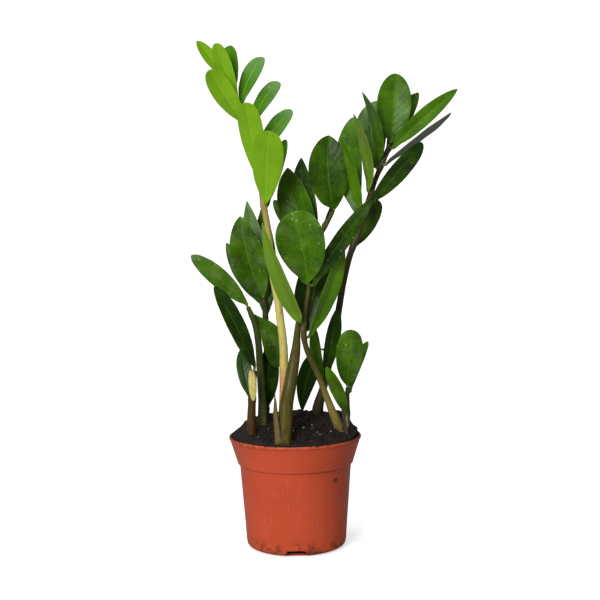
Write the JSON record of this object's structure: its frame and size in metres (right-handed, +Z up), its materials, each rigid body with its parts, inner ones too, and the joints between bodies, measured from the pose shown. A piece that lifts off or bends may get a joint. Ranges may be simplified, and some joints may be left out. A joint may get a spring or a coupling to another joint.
{
  "type": "potted zz plant",
  "caption": "Potted zz plant: upright fleshy stalks with pairs of glossy pointed leaflets, rooted in mounded dark potting soil in a tapered plastic nursery pot with a flared collar.",
  "frame": {"origin": "centre of the pot's flat underside", "axes": "+Z up along the pot's axis; the plant's front, where the drain notch shows, faces -Y"},
  "size_m": [0.2082, 0.105, 0.3971],
  "materials": {
    "pot": "satin, slightly scuffed and dirty at the foot",
    "soil": "matte, crumbly and damp",
    "stem": "satin, mottled olive and brown",
    "young_stem": "satin",
    "leaf": "glossy with dusty spots",
    "young_leaf": "satin",
    "husk": "matte, papery"
  },
  "bodies": {
    "root": {"pot": "pot", "front_stem": "stem", "young_stem": "young_stem", "leaning_stem": "stem", "tall_stem": "stem", "left_stem": "stem", "short_left_stem": "stem", "back_stem": "stem", "short_right_stem": "stem", "front_stem_husk": "husk", "leaning_stem_husk": "husk", "short_left_stem_husk": "husk", "short_right_stem_husk": "husk", "soil": "soil", "young_leaflet_1": "young_leaf", "young_leaflet_2": "young_leaf", "young_leaflet_3": "young_leaf", "young_leaflet_4": "young_leaf", "young_leaflet_5": "young_leaf", "young_leaflet_6": "young_leaf", "young_leaflet_7": "young_leaf", "young_leaflet_8": "young_leaf", "young_leaflet_9": "young_leaf", "young_leaflet_10": "young_leaf", "front_leaflet_1": "leaf", "front_leaflet_2": "leaf", "front_leaflet_3": "leaf", "front_leaflet_4": "leaf", "front_leaflet_5": "leaf", "leaning_leaflet_1": "leaf", "leaning_leaflet_2": "leaf", "leaning_leaflet_3": "leaf", "leaning_leaflet_5": "leaf", "leaning_leaflet_4": "leaf", "tall_leaflet_1": "leaf", "tall_leaflet_2": "leaf", "tall_leaflet_3": "leaf", "tall_leaflet_4": "leaf", "tall_leaflet_5": "leaf", "tall_leaflet_6": "leaf", "tall_leaflet_7": "leaf", "tall_leaflet_8": "leaf", "tall_leaflet_9": "leaf", "tall_leaflet_10": "leaf", "tall_leaflet_11": "leaf", "tall_leaflet_12": "leaf", "tall_leaflet_13": "leaf", "tall_leaflet_14": "leaf", "left_leaflet_1": "leaf", "left_leaflet_2": "leaf", "short_left_leaflet_1": "leaf", "short_left_leaflet_2": "leaf", "back_leaflet_1": "leaf", "back_leaflet_2": "leaf", "back_leaflet_3": "leaf", "back_leaflet_4": "leaf", "back_leaflet_5": "leaf", "short_right_leaflet_1": "leaf", "short_right_leaflet_2": "leaf", "short_right_leaflet_3": "leaf"}
  },
  "joints": []
}
